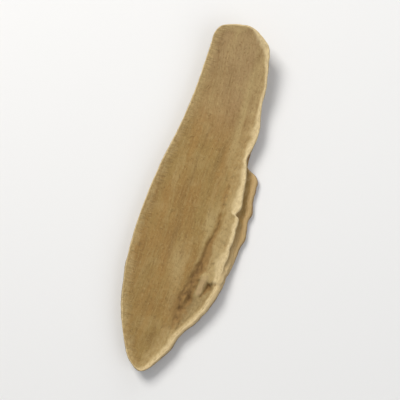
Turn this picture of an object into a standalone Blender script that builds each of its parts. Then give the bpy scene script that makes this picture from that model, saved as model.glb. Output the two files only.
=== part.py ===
"""A dried slice of reishi mushroom, cut from the cap and lying on one of its two cut faces.

The slice runs along Y, from its pointed tip at -Y to its blunt end at +Y. The crust side is at +X. It is
notched, and along its middle the lower layer stands out past the upper one as a ledge. The pore side is at -X
and almost upright. The underside lies on z = 0 in the middle, and both ends have curled up in drying.

Outlines and heights are worked out in millimetres, with y = 0 at the tip, and are turned into metres and
centred when the mesh is made.
"""

import bmesh
import bpy
import numpy as np

METRES = 0.001

# Driving dimensions, in millimetres
LENGTH = 75.75
THICKNESS = 3.2
TIP_THICKNESS = 2.4
END_THICKNESS = 2.8
END_CURL = 3.2
END_TWIST = 1.5
TIP_CURL = 0.9
FLAT_FROM = 16.0
FLAT_TO = 50.0

# The rim of the upper cut face as (x, y), from the tip up the crust side and back down the pore side
RIM = [
    (0.3, 0.0),
    (3.1, 3.2),
    (5.9, 9.5),
    (9.2, 15.3),
    (10.7, 20.5),
    (10.8, 24.5),
    (11.2, 29.0),
    (11.2, 33.5),
    (10.95, 38.5),
    (10.4, 42.5),
    (9.75, 46.5),
    (9.55, 50.5),
    (10.0, 54.0),
    (9.2, 59.5),
    (8.75, 65.0),
    (7.8, 69.5),
    (6.9, 72.7),
    (6.0, 73.65),
    (4.9, 74.35),
    (3.9, 75.0),
    (2.9, 75.5),
    (1.6, LENGTH),
    (0.0, 75.6),
    (-2.4, 75.25),
    (-4.3, 74.35),
    (-5.0, 73.0),
    (-5.15, 70.5),
    (-5.4, 64.5),
    (-5.85, 57.5),
    (-6.8, 50.5),
    (-8.2, 42.5),
    (-9.1, 34.0),
    (-9.3, 26.0),
    (-8.7, 18.5),
    (-7.2, 11.5),
    (-4.6, 5.0),
    (-2.0, 1.2),
]

# Notches in the rim's crust side as (y, depth, half width below, half width above). They fade out with depth.
NOTCHES = [
    (61.4, 0.15, 1.4, 1.4),
    (48.9, 0.45, 1.3, 1.5),
    (36.9, 0.85, 0.6, 1.2),
    (29.6, 0.25, 0.8, 0.8),
    (22.0, 0.3, 0.8, 0.8),
]
NOTCH_FADE = (1.9, 0.6)

# How far the lower edge of each side stands out past the upper rim, as (y, distance)
CRUST_FLARE = [
    (0.0, 0.3),
    (7.5, 0.74),
    (9.8, 0.5),
    (12.0, 0.74),
    (15.0, 0.7),
    (18.0, 0.88),
    (20.0, 0.93),
    (22.0, 1.28),
    (26.0, 1.73),
    (28.0, 1.66),
    (30.0, 1.75),
    (31.0, 1.95),
    (32.3, 2.45),
    (34.0, 2.4),
    (35.6, 2.0),
    (36.6, 2.1),
    (38.0, 2.65),
    (40.0, 2.3),
    (42.5, 2.5),
    (44.5, 2.7),
    (45.6, 2.3),
    (46.3, 1.8),
    (46.7, 1.0),
    (47.0, 0.0),
    (60.0, -0.2),
    (LENGTH, -0.1),
]
PORE_FLARE = 0.2

# The wall from the upper rim to the lower, as (share of the flare, share of the thickness, ridge, lift).
# The lift raises the outer part of the ledge where the ledge is wide.
LEDGE_WALL = [
    (0.0, 1.0, 0.0, 0.0),
    (0.02, 0.88, 0.14, 0.0),
    (0.08, 0.66, -0.1, 0.0),
    (0.27, 0.49, -0.1, -0.05),
    (0.52, 0.44, -0.03, -0.1),
    (0.74, 0.42, 0.0, 0.15),
    (0.92, 0.38, 0.02, 0.1),
    (1.0, 0.26, 0.05, 0.0),
    (0.97, 0.1, 0.0, 0.0),
]

# The same near the tip, where the ledge has risen into the upper face and the edge is rounded
ROUND_WALL = [
    (0.0, 1.0, 0.0, 0.0),
    (0.3, 0.99, 0.0, 0.0),
    (0.62, 0.96, 0.0, 0.0),
    (0.88, 0.88, 0.0, 0.0),
    (1.0, 0.7, 0.0, 0.0),
    (1.02, 0.5, -0.05, 0.0),
    (1.0, 0.3, 0.05, 0.0),
    (0.98, 0.2, 0.02, 0.0),
    (0.96, 0.1, 0.0, 0.0),
]
ROUND_FROM = 34.0
ROUND_TO = 19.0

# The split that drying left beside the crust on the upper face, as (y, x, half width, depth)
GROOVE = [
    (8.0, 4.1, 0.5, 0.0),
    (10.0, 4.4, 0.6, 0.25),
    (14.8, 4.6, 0.7, 0.55),
    (17.0, 4.5, 0.95, 0.55),
    (20.5, 5.5, 0.8, 0.6),
    (24.5, 6.2, 0.7, 0.62),
    (28.0, 6.65, 0.55, 0.58),
    (31.0, 7.1, 0.5, 0.48),
    (34.0, 7.6, 0.5, 0.32),
    (38.0, 7.5, 0.5, 0.2),
    (42.0, 7.4, 0.5, 0.0),
]

# The raised band between the split and the rim. It is broken off at one place, down to a shelf that runs on
# to the tip. A tongue slopes down onto the shelf, as (x, lowest y, highest y, slant, half width).
BAND_HEIGHT = 0.22
BAND_END = 21.8
SHELF_DROP = 0.5
TONGUE = (7.3, 17.9, 22.6, 0.15, 0.85)

# Pits along the split as (x, y, half width across, half length, depth)
PITS = [(9.25, 20.8, 0.7, 0.9, 0.6), (4.6, 14.8, 0.6, 0.7, 0.4), (6.1, 17.1, 0.6, 0.8, 0.5)]

CRUST_LIP = 0.24
PORE_LIP = 0.08
LIP_WIDTH = 0.8
DISH = 0.06
EDGE_ROUNDING = 0.25

# The rings of the upper face, as shares of the way from its middle line to the rim, and of the lower face
UPPER_RINGS = [0.0, 0.2, 0.34, 0.43, 0.5, 0.56, 0.62, 0.68, 0.75, 0.82, 0.89, 0.95]
LOWER_RINGS = [1.0, 0.8, 0.43, 0.0]

# The middle line runs between the centres of the two round ends
LINE_FROM = 24.0
LINE_TO = 66.0
ROW_SPACING = 0.9
CURVE_STEPS = 24


def smooth_step(low, high, value):
    share = np.clip((value - low) / (high - low), 0.0, 1.0)
    return share * share * (3.0 - 2.0 * share)


def along(table, y):
    places, values = zip(*table)
    return np.interp(y, places, values)


def bump(distance, half_width):
    return np.exp(-((distance / half_width) ** 2))


def closed_curve(points, steps):
    """A smooth closed curve through the points, with the given number of steps between neighbours."""
    here = np.array(points)
    after = np.roll(here, -1, axis=0)
    gap = np.linalg.norm(after - here, axis=1)[:, None]
    slope = (after - np.roll(here, 1, axis=0)) / (gap + np.roll(gap, 1, axis=0))
    slope_after = np.roll(slope, -1, axis=0)
    stretches = []
    for t in np.arange(steps) / steps:
        ease = t * t * (3.0 - 2.0 * t)
        lead = t * (1.0 - t) ** 2 * gap * slope
        trail = t * t * (1.0 - t) * gap * slope_after
        stretches.append(here + (after - here) * ease + lead - trail)
    return np.stack(stretches, axis=1).reshape(-1, 2)


def even_points(path, spacing):
    """Points at even distances along an open path, without its two ends."""
    travelled = np.concatenate([[0.0], np.cumsum(np.linalg.norm(np.diff(path, axis=0), axis=1))])
    count = int(travelled[-1] / spacing)
    stops = np.linspace(0.0, travelled[-1], count + 1)[1:-1]
    return np.column_stack([np.interp(stops, travelled, path[:, 0]), np.interp(stops, travelled, path[:, 1])])


def rim_and_middle():
    """Points around the rim, and for each the point of the middle line that it faces."""
    curve = closed_curve(RIM, CURVE_STEPS)
    end = int(np.argmax(curve[:, 1]))
    crust_side = curve[: end + 1]
    pore_side = curve[end:]
    rows = np.linspace(LINE_FROM, LINE_TO, int((LINE_TO - LINE_FROM) / ROW_SPACING) + 1)
    crust_x = np.interp(rows, crust_side[:, 1], crust_side[:, 0])
    pore_x = np.interp(rows, pore_side[::-1, 1], pore_side[::-1, 0])
    middle = np.column_stack([(crust_x + pore_x) / 2.0, rows])
    crust_row = np.column_stack([crust_x, rows])
    pore_row = np.column_stack([pore_x, rows])

    past_end = [side[side[:, 1] > LINE_TO] for side in (crust_side, pore_side)]
    past_tip = [side[side[:, 1] < LINE_FROM] for side in (pore_side, crust_side)]
    blunt = even_points(np.vstack([crust_row[-1:], *past_end, pore_row[-1:]]), ROW_SPACING)
    pointed = even_points(np.vstack([pore_row[:1], *past_tip, crust_row[:1]]), ROW_SPACING)
    rim = np.vstack([crust_row, blunt, pore_row[::-1], pointed])
    blunt_middle = np.repeat(middle[-1:], len(blunt), axis=0)
    pointed_middle = np.repeat(middle[:1], len(pointed), axis=0)
    return rim, np.vstack([middle, blunt_middle, middle[::-1], pointed_middle])


def outward(rim):
    run = np.roll(rim, -1, axis=0) - np.roll(rim, 1, axis=0)
    normal = np.column_stack([run[:, 1], -run[:, 0]])
    return normal / np.linalg.norm(normal, axis=1)[:, None]


def notched(rim, normal, crust, drop):
    """The rim at a depth below the upper face, with its notches."""
    depth = 0.0
    for place, most, below, above in NOTCHES:
        away = rim[:, 1] - place + 0.3 * drop
        depth = depth + most * bump(away, np.where(away < 0.0, below, above))
    return rim - normal * (depth * crust * smooth_step(*NOTCH_FADE, drop))[:, None]


def underside(x, y):
    """Height of the lower face: flat in the middle, curled up towards both ends."""
    past_end = np.clip((y - FLAT_TO) / (LENGTH - FLAT_TO), 0.0, None) ** 2
    past_tip = np.clip((FLAT_FROM - y) / FLAT_FROM, 0.0, None) ** 2
    return past_end * (END_CURL + END_TWIST * x / 8.0) + TIP_CURL * past_tip


def thickness(y):
    towards_tip = smooth_step(20.0, 0.0, y)
    towards_end = smooth_step(55.0, LENGTH, y)
    return THICKNESS - (THICKNESS - TIP_THICKNESS) * towards_tip - (THICKNESS - END_THICKNESS) * towards_end


def upper_relief(x, y, inset, share, crust):
    """Height of the upper face over an even slice. inset is the distance in from the rim."""
    groove_y, groove_x, groove_half, groove_depth = zip(*GROOVE)
    beside = x - np.interp(y, groove_y, groove_x)
    half = np.interp(y, groove_y, groove_half)
    right_half = half * (1.0 + smooth_step(36.0, 26.0, y) * (0.3 + smooth_step(22.0, 24.0, y)))
    groove = np.interp(y, groove_y, groove_depth) * bump(beside, np.where(beside < 0.0, half, right_half))

    broken = smooth_step(BAND_END + 0.6, BAND_END - 0.6, y)
    beyond = smooth_step(0.3, 1.3, beside) * smooth_step(0.2, 1.2, inset)
    band = BAND_HEIGHT * smooth_step(46.0, 36.0, y) * (1.0 - broken) * beyond
    shelf = SHELF_DROP * broken * smooth_step(4.5, 11.0, y) * beyond
    tongue_x, tongue_from, tongue_to, tongue_slant, tongue_half = TONGUE
    on_tongue = smooth_step(tongue_from - 0.6, tongue_to, y)
    on_tongue = on_tongue * smooth_step(tongue_to + 1.0, tongue_to, y)
    on_tongue = on_tongue * bump(x - tongue_x - tongue_slant * (y - tongue_from), tongue_half)
    shelf = shelf * (1.0 - on_tongue)

    lip = (PORE_LIP + (CRUST_LIP * (1.0 - 0.7 * broken) - PORE_LIP) * crust) * bump(inset, LIP_WIDTH)
    dish = DISH * (1.0 - share**2)
    pits = sum(depth * bump(x - px, wide) * bump(y - py, long) for px, py, wide, long, depth in PITS)
    return lip - dish - groove + band - shelf - pits


def slice_rings():
    """Rings of points from the middle of the upper face, over the rim and down the wall, to the lower
    face's middle."""
    rim, facing = rim_and_middle()
    normal = outward(rim)
    crust = smooth_step(-0.5, 0.5, normal[:, 0])
    flare = crust * along(CRUST_FLARE, rim[:, 1]) + (1.0 - crust) * PORE_FLARE
    rounded = smooth_step(ROUND_FROM, ROUND_TO, rim[:, 1])
    upper_rim = notched(rim, normal, crust, 0.0)
    reach = np.linalg.norm(upper_rim - facing, axis=1)

    rings = []
    for share in UPPER_RINGS:
        at = facing + share * (upper_rim - facing)
        inset = (1.0 - share) * reach
        relief = upper_relief(at[:, 0], at[:, 1], inset, share, crust)
        level = underside(at[:, 0], at[:, 1]) + thickness(at[:, 1]) + relief
        rings.append(np.column_stack([at, level]))

    rim_relief = upper_relief(upper_rim[:, 0], upper_rim[:, 1], 0.0 * reach, 1.0, crust)
    wide = smooth_step(0.8, 1.8, flare)
    for ledge_row, round_row in zip(LEDGE_WALL, ROUND_WALL):
        flare_share, height_share, ridge, lift = (a + (b - a) * rounded for a, b in zip(ledge_row, round_row))
        start = notched(rim, normal, crust, (1.0 - height_share) * THICKNESS)
        at = start + normal * (flare * flare_share + ridge * (0.4 + 0.6 * crust))[:, None]
        rise = (thickness(at[:, 1]) + rim_relief) * height_share + lift * wide
        rings.append(np.column_stack([at, underside(at[:, 0], at[:, 1]) + rise]))

    lower_rim = rings[-1][:, :2] - normal * EDGE_ROUNDING
    for share in LOWER_RINGS:
        at = facing + share * (lower_rim - facing)
        rings.append(np.column_stack([at, underside(at[:, 0], at[:, 1])]))
    return rings


def dried_flesh():
    material = bpy.data.materials.new("dried_flesh")
    material.use_nodes = True
    shader = material.node_tree.nodes["Principled BSDF"]
    shader.inputs["Base Color"].default_value = (0.35, 0.22, 0.09, 1.0)
    shader.inputs["Roughness"].default_value = 0.75
    shader.inputs["Metallic"].default_value = 0.0
    return material


def make_slice():
    """The slice as one closed body: the rings joined in turn, and each face closed along its middle line."""
    rings = np.stack(slice_rings())
    low = rings.min(axis=(0, 1))
    high = rings.max(axis=(0, 1))
    origin = np.array([(low[0] + high[0]) / 2.0, (low[1] + high[1]) / 2.0, low[2]])
    rings = (rings - origin) * METRES

    body = bmesh.new()
    loops = [[body.verts.new(point) for point in ring] for ring in rings]
    around = len(loops[0])
    for upper, lower in zip(loops, loops[1:]):
        for i in range(around):
            j = (i + 1) % around
            body.faces.new((upper[i], lower[i], lower[j], upper[j]))
    bmesh.ops.remove_doubles(body, verts=body.verts, dist=1e-5)
    bmesh.ops.recalc_face_normals(body, faces=body.faces)
    mesh = bpy.data.meshes.new("slice")
    body.to_mesh(mesh)
    body.free()
    mesh.shade_smooth()
    mesh.set_sharp_from_angle(angle=np.radians(50.0))
    mesh.materials.append(dried_flesh())
    part = bpy.data.objects.new("slice", mesh)
    bpy.context.scene.collection.objects.link(part)
    return part


for old in list(bpy.data.objects):
    bpy.data.objects.remove(old)
make_slice()
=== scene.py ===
import math

import bmesh
import bpy
import numpy as np
from mathutils import Matrix, Vector, noise


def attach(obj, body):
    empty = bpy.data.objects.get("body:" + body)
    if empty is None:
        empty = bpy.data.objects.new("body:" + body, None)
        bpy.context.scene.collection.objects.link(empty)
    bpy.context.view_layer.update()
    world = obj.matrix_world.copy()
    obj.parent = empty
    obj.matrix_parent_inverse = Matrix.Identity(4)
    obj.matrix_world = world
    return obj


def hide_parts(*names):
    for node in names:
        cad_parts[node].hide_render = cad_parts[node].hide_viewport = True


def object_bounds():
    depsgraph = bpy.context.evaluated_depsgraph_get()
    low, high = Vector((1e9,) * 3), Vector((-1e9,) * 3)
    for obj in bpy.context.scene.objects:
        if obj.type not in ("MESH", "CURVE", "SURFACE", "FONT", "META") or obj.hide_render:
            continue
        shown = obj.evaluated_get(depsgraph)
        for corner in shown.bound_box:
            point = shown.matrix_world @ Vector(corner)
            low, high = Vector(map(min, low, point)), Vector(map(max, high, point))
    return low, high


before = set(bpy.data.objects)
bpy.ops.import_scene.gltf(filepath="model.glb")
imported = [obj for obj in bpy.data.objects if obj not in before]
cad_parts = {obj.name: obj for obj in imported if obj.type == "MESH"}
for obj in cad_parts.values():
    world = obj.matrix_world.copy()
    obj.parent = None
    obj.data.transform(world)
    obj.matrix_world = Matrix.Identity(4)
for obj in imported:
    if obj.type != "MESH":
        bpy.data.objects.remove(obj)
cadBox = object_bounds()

mm = 0.001
print("frame loaded:", sorted(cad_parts))


# the dried slice's form, in millimetres, with y = 0 at its tip
sliceForm = {
    "length": 75.75,
    "thickness": 3.2,
    "tipThickness": 2.4,
    "endThickness": 2.8,
    "tipThins": 20.0,  # y where the slice starts to thin towards its tip
    "endThins": 55.0,  # and towards its blunt end
    "endCurl": 3.2,
    "endTwist": 0.1875,  # more curl at the blunt end for each millimetre towards the crust
    "tipCurl": 0.9,
    "flat": (16.0, 50.0),
    # rim of the upper cut face, from the tip up the crust side and back down the pore side
    "rim": [
        (0.3, 0.0), (3.1, 3.2), (5.9, 9.5), (9.2, 15.3), (10.7, 20.5), (10.8, 24.5), (11.2, 29.0),
        (11.2, 33.5), (10.95, 38.5), (10.4, 42.5), (9.75, 46.5), (9.55, 50.5), (10.0, 54.0), (9.2, 59.5),
        (8.75, 65.0), (7.8, 69.5), (6.9, 72.7), (6.0, 73.65), (4.9, 74.35), (3.9, 75.0), (2.9, 75.5),
        (1.6, 75.75), (0.0, 75.6), (-2.4, 75.25), (-4.3, 74.35), (-5.0, 73.0), (-5.15, 70.5), (-5.4, 64.5),
        (-5.85, 57.5), (-6.8, 50.5), (-8.2, 42.5), (-9.1, 34.0), (-9.3, 26.0), (-8.7, 18.5), (-7.2, 11.5),
        (-4.6, 5.0), (-2.0, 1.2),
    ],
    # y, depth, half width below it, half width above it
    "notches": [
        (61.4, 0.15, 1.4, 1.4), (48.9, 0.45, 1.3, 1.5), (36.9, 0.85, 0.35, 1.1), (29.6, 0.25, 0.7, 0.8),
        (25.9, 0.2, 0.6, 0.8), (22.0, 0.3, 0.8, 0.7),
    ],
    "notchSlant": 0.3,
    "notchFade": (1.9, 0.6),  # depths under the upper face where a notch is gone, and whole
    # y, how far the lower edge stands out past the rim
    "crustFlare": [
        (0.0, 0.3), (7.5, 0.74), (9.8, 0.5), (12.0, 0.74), (15.0, 0.7), (18.0, 0.88), (20.0, 0.93),
        (22.0, 1.28), (26.0, 1.73), (28.0, 1.66), (30.0, 1.75), (31.0, 1.95), (32.3, 2.45), (34.0, 2.4),
        (35.6, 2.0), (36.6, 2.1), (38.0, 2.65), (40.0, 2.3), (42.5, 2.5), (44.5, 2.7), (45.6, 2.3),
        (46.3, 1.8), (46.7, 1.0), (47.0, 0.0), (60.0, -0.2), (75.75, -0.1),
    ],
    "poreFlare": 0.2,
    "crustFacing": (-0.5, 0.5),  # how far the rim faces to +x where the crust starts, and is whole
    "evenedOver": 5,  # points over which the lower edge is evened out
    "wideLedge": (0.8, 1.8),
    # share of the flare, share of the thickness, ridge, and lift where the ledge is wide
    "wall": [
        (0.0, 1.0, 0.0, 0.0), (0.02, 0.88, 0.14, 0.0), (0.08, 0.66, -0.1, 0.0), (0.27, 0.49, -0.1, -0.05),
        (0.52, 0.44, -0.03, -0.1), (0.74, 0.42, 0.0, 0.15), (0.92, 0.38, 0.02, 0.1), (1.0, 0.26, 0.05, 0.0),
        (0.97, 0.1, 0.0, 0.0), (0.97, 0.0, -0.25, 0.0),
    ],
    # the same where the upper layer has broken off, a plain rounded edge
    "roundWall": [
        (0.0, 1.0, 0.0, 0.0), (0.3, 0.99, 0.0, 0.0), (0.62, 0.96, 0.0, 0.0), (0.88, 0.88, 0.0, 0.0),
        (1.0, 0.7, 0.0, 0.0), (1.02, 0.5, -0.05, 0.0), (1.0, 0.3, 0.05, 0.0), (0.98, 0.2, 0.02, 0.0),
        (0.96, 0.1, 0.0, 0.0), (0.96, 0.0, -0.25, 0.0),
    ],
    "wallChange": (34.0, 19.0),
    "ledgeEnd": (46.2, 50.0),  # where the pale ledge gives way to a steep crust
    # the split beside the crust: y, x of its deepest line; y, half width; y, depth
    "grooveLine": [
        (8.0, 4.1), (10.0, 4.4), (12.5, 4.5), (14.8, 4.6), (17.0, 4.5), (19.0, 5.4), (20.5, 5.5), (22.0, 5.8),
        (24.5, 6.2), (26.0, 6.7), (28.0, 6.65), (30.0, 6.8), (31.0, 7.1), (33.0, 7.5), (36.0, 7.6),
        (38.0, 7.5), (42.0, 7.4), (46.0, 7.5), (52.0, 7.9), (57.0, 7.7),
    ],
    "grooveWidth": [
        (8.0, 0.7), (12.0, 0.6), (14.8, 0.55), (16.5, 0.95), (18.0, 0.95), (20.0, 0.75), (22.0, 0.7),
        (24.0, 0.7), (26.0, 0.45), (28.0, 0.42), (31.0, 0.34), (36.0, 0.3), (40.0, 0.24), (57.0, 0.2),
    ],
    "grooveDepth": [
        (7.0, 0.0), (9.3, 0.12), (12.0, 0.3), (16.8, 0.55), (22.0, 0.62), (27.0, 0.58), (31.0, 0.48),
        (34.0, 0.34), (38.0, 0.24), (45.0, 0.13), (54.0, 0.07), (58.0, 0.0),
    ],
    "easesUp": (36.0, 26.0, 0.3),  # the split's right side: from y, to y, how much wider it gets
    "easesMore": (22.0, 24.0, 1.0),
    "dotted": (33.0, 40.0),
    "dotPitch": 2.1,
    "dotDepth": 1.2,
    "islet": (5.0, 16.6, 0.6, 0.4),  # x, y, radius, height
    # the raised band between the split and the rim, and the shelf where it is broken off
    "bandHeight": 0.22,
    "bandFade": (46.0, 36.0),
    "bandEnd": 21.8,
    "bandBreak": 0.3,
    "bandInside": ((0.3, 1.2), (0.2, 1.2)),  # how far from the split, and from the rim
    "shelfDrop": 0.5,
    "shelfFade": (4.5, 11.0),
    "verge": (1.1, 0.6, 0.12),  # how far left of the split, half width, height
    "vergeFade": ((16.0, 24.0), (42.0, 34.0)),
    "tongue": (7.3, 17.9, 22.6, 0.15, 0.85),  # x, from y, to y, slant, half width
    "tongueEnds": (0.6, 0.8, 1.2),  # before and after its foot, and past its top
    "tongueRise": (17.0, 22.0, 1.1),  # from y, to y, share of the drop
    # x, y, half width across, half length, depth
    "pits": [
        (9.2, 20.6, 0.6, 0.75, 0.62), (10.5, 21.5, 0.55, 0.55, 0.24), (8.7, 19.5, 0.5, 0.8, 0.36),
        (8.2, 18.4, 0.4, 0.7, 0.24), (4.95, 14.6, 0.6, 0.5, 0.55), (6.1, 17.1, 0.6, 0.8, 0.5),
        (4.5, 12.4, 0.5, 0.6, 0.25), (9.95, 29.9, 0.35, 0.6, 0.28), (8.5, 29.2, 0.35, 0.3, 0.15),
    ],
    "crustLip": 0.24,
    "poreLip": 0.08,
    "shelfLip": 0.3,  # how much of the lip is left along the shelf
    "lipWidth": 0.8,
    "dish": 0.06,
    # the mesh: the middle line's ends, and the distance between its points
    "middleLine": (7.0, 69.5),
    "spacing": 0.26,
    "curvePoints": 1400,
    "faceRings": 72,
    "crowding": 1.25,  # above 1, the face's rings crowd towards the rim
    "wallRings": 36,
    "underRings": 33,
    "mergeWithin": 0.0004,
}


def smoothStep(low, high, value):
    share = np.clip((value - low) / (high - low), 0.0, 1.0)
    return share * share * (3.0 - 2.0 * share)


def fadedBoth(spans, y):
    # one smooth step at the start of a feature and one at its end
    return smoothStep(*spans[0], y) * smoothStep(*spans[1], y)


def along(table, y):
    places, values = zip(*table)
    return np.interp(y, places, values)


def bump(distance, halfWidth):
    return np.exp(-((distance / halfWidth) ** 2))


def smoothCurve(points, count, closed=False):
    # a smooth curve through the points; closed curves leave out the repeated last point
    here = np.array(points, float)
    if closed:
        here = np.vstack([here[-1:], here, here[:2]])
    gap = np.linalg.norm(np.diff(here, axis=0), axis=1)
    travelled = np.concatenate([[0.0], np.cumsum(gap)])
    slope = np.gradient(here, travelled, axis=0)
    first, last = (1, len(here) - 2) if closed else (0, len(here) - 1)
    stops = np.linspace(travelled[first], travelled[last], count, endpoint=not closed)
    i = np.clip(np.searchsorted(travelled, stops, side="right") - 1, 0, len(here) - 2)
    t = ((stops - travelled[i]) / gap[i])[:, None]
    ease = t * t * (3.0 - 2.0 * t)
    lead = t * (1.0 - t) ** 2 * gap[i][:, None] * slope[i]
    trail = t * t * (1.0 - t) * gap[i][:, None] * slope[i + 1]
    return here[i] + (here[i + 1] - here[i]) * ease + lead - trail


def distanceAlong(path):
    return np.concatenate([[0.0], np.cumsum(np.linalg.norm(np.diff(path, axis=0), axis=1))])


def evenPoints(path, spacing):
    # points at even distances along an open path, without its two ends
    travelled = distanceAlong(path)
    stops = np.linspace(0.0, travelled[-1], int(travelled[-1] / spacing) + 1)[1:-1]
    return np.column_stack([np.interp(stops, travelled, path[:, 0]), np.interp(stops, travelled, path[:, 1])])


def rimAndMiddle(form):
    # points around the rim, and for each the point of the middle line that it faces
    curve = smoothCurve(form["rim"], form["curvePoints"], closed=True)
    end = int(np.argmax(curve[:, 1]))
    crustSide, poreSide = curve[: end + 1], curve[end:]
    first, last = form["middleLine"]
    rows = np.linspace(first, last, int((last - first) / form["spacing"]) + 1)
    crustX = np.interp(rows, crustSide[:, 1], crustSide[:, 0])
    poreX = np.interp(rows, poreSide[::-1, 1], poreSide[::-1, 0])
    middle = np.column_stack([(crustX + poreX) / 2.0, rows])
    crustRow = np.column_stack([crustX, rows])
    poreRow = np.column_stack([poreX, rows])
    pastEnd = [side[side[:, 1] > last] for side in (crustSide, poreSide)]
    pastTip = [side[side[:, 1] < first] for side in (poreSide, crustSide)]
    blunt = evenPoints(np.vstack([crustRow[-1:], *pastEnd, poreRow[-1:]]), form["spacing"])
    pointed = evenPoints(np.vstack([poreRow[:1], *pastTip, crustRow[:1]]), form["spacing"])
    rim = np.vstack([crustRow, blunt, poreRow[::-1], pointed])
    facing = np.vstack([middle, np.repeat(middle[-1:], len(blunt), axis=0),
                        middle[::-1], np.repeat(middle[:1], len(pointed), axis=0)])
    return rim, facing, middle


def outward(rim):
    run = np.roll(rim, -1, axis=0) - np.roll(rim, 1, axis=0)
    normal = np.column_stack([run[:, 1], -run[:, 0]])
    return normal / np.linalg.norm(normal, axis=1)[:, None]


def underside(form, x, y):
    flatFrom, flatTo = form["flat"]
    pastEnd = np.clip((y - flatTo) / (form["length"] - flatTo), 0.0, None) ** 2
    pastTip = np.clip((flatFrom - y) / flatFrom, 0.0, None) ** 2
    return pastEnd * (form["endCurl"] + form["endTwist"] * x) + form["tipCurl"] * pastTip


def thickness(form, y):
    full = form["thickness"]
    towardsTip = smoothStep(form["tipThins"], 0.0, y) * (full - form["tipThickness"])
    towardsEnd = smoothStep(form["endThins"], form["length"], y) * (full - form["endThickness"])
    return full - towardsTip - towardsEnd


def field(u, v, seed, octaves=2):
    # smooth noise from about -1 to 1 at each pair of coordinates
    flat = [noise.fractal(Vector((a, b, seed)), 1.0, 2.0, octaves) for a, b in zip(np.ravel(u), np.ravel(v))]
    return np.array(flat).reshape(np.shape(u))


# Relief in millimetres. Three values are wavelengths across and along the slice and a height; two are
# a wavelength and a height or how far it strays, unless a note says otherwise.
sliceRelief = {
    "broad": (14.0, 14.0, 0.16),
    "wrinkle": (1.5, 15.0, 0.075),
    "fineWrinkle": (0.6, 6.0, 0.04),
    "corkPit": (0.7, 1.33, 0.12),
    "corkPitted": (0.42, 0.85),  # the noise where a pit starts, and is whole
    "sawPitch": 1.3,
    "sawHeight": 0.02,
    "sawSlant": 0.35,
    "sawPatch": (9.0, 13.0, -0.25, 0.35),  # across, along, noise where marks start, and are whole
    "sawWarp": (7.0, 0.8),
    "ragged": (1.0, 1.5),  # wavelengths across and along, at the ragged edges of the rest
    "grooveSway": (1.9, 0.22),
    "grooveRagged": 0.45,
    "grooveUneven": (0.8, 1.6, 0.3),
    "dotDrift": (3.0, 0.5),
    "breakRagged": 0.8,
    "tongueRagged": 0.12,
    "pitRagged": (0.2, 0.3),  # across, along
    "wallChangeRagged": 0.8,
    "ledgeEndRagged": 2.3333,
    "bandRough": (0.9, 1.53, 0.14),
    "rimWave": (2.4, 2.4, 0.14),
    "lipWave": (1.5, 1.5, 0.1),
    "lipWaveWidth": 0.7,
    "ledgeWave": (1.9, 0.12),
    "ledgeWaved": (0.3, 1.0),  # how far the ledge stands out where waves start, and are whole
    # along the edge, down the wall, height
    "crustFurrow": (1.5, 5.0, 0.09),
    "crustLayer": (9.0, 0.5, 0.11),
    "poreWave": (7.0, 2.6, 0.28),
    "poreLean": 0.16,
    "wallRough": (1.15, 0.7),  # reaches zero at one over the first; the second makes it blunter
    # share of the crust side's relief that the pore side has
    "poreRim": 0.35,
    "poreRidge": 0.4,
    "poreRough": 0.45,
    "scar": (0.03, 0.35, 0.08),  # level, share and limit of the cut's relief on the lower face
}


def waves(relief, name, u, v, seed, octaves=2):
    sizeU, sizeV, height = relief[name]
    return height * field(u / sizeU, v / sizeV, seed, octaves)


def cutRelief(relief, across, y, seed):
    # the corky cut: shallow swells, lengthwise wrinkles, cutting marks and small pits
    level = waves(relief, "broad", across, y, seed)
    for name in ("wrinkle", "fineWrinkle"):
        level = level + waves(relief, name, across, y, seed + relief[name][0])
    patchWide, patchLong, bare, marked = relief["sawPatch"]
    patches = smoothStep(bare, marked, field(across / patchWide, y / patchLong, seed + 5.0, 1))
    warpSize, warp = relief["sawWarp"]
    warp = warp * field(across / warpSize, y / warpSize, seed + 8.0, 1)
    phase = (y + relief["sawSlant"] * across + warp) / relief["sawPitch"]
    level = level + relief["sawHeight"] * patches * np.sin(2.0 * np.pi * phase)
    pitWide, pitLong, depth = relief["corkPit"]
    pitted = smoothStep(*relief["corkPitted"], field(across / pitWide, y / pitLong, seed + 11.0))
    return level - depth * pitted, pitted


def grooveRelief(form, relief, x, y, ragged):
    # the split beside the crust: steep on its left, easing up on its right, dotted at its upper end
    swaySize, sway = relief["grooveSway"]
    beside = x - along(form["grooveLine"], y) + sway * field(x * 0.0, y / swaySize, seed=33.0, octaves=3)
    left = along(form["grooveWidth"], y) * (1.0 + relief["grooveRagged"] * ragged)
    low, high, least = form["easesUp"]
    moreLow, moreHigh, more = form["easesMore"]
    eased = smoothStep(low, high, y) * (least + more * smoothStep(moreLow, moreHigh, y))
    across = np.where(beside < 0.0, bump(beside, left), bump(beside, left * (1.0 + eased)))
    driftSize, drift = relief["dotDrift"]
    drift = drift * field(x * 0.0, y / driftSize, seed=35.0, octaves=1)
    dots = 0.5 + 0.5 * np.cos(2.0 * np.pi * (y + drift) / form["dotPitch"])
    dotted = smoothStep(*form["dotted"], y)
    uneven = 1.0 - relief["grooveUneven"][2] / 2.0 + waves(relief, "grooveUneven", x, y, seed=37.0)
    strength = (1.0 - dotted) * uneven + dotted * dots * dots * form["dotDepth"]
    depth = along(form["grooveDepth"], y) * strength * across
    isletX, isletY, radius, height = form["islet"]
    islet = np.exp(-(((x - isletX) ** 2 + (y - isletY) ** 2) / radius ** 2) ** 1.5)
    return np.clip(depth - height * islet, 0.0, None), beside


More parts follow.
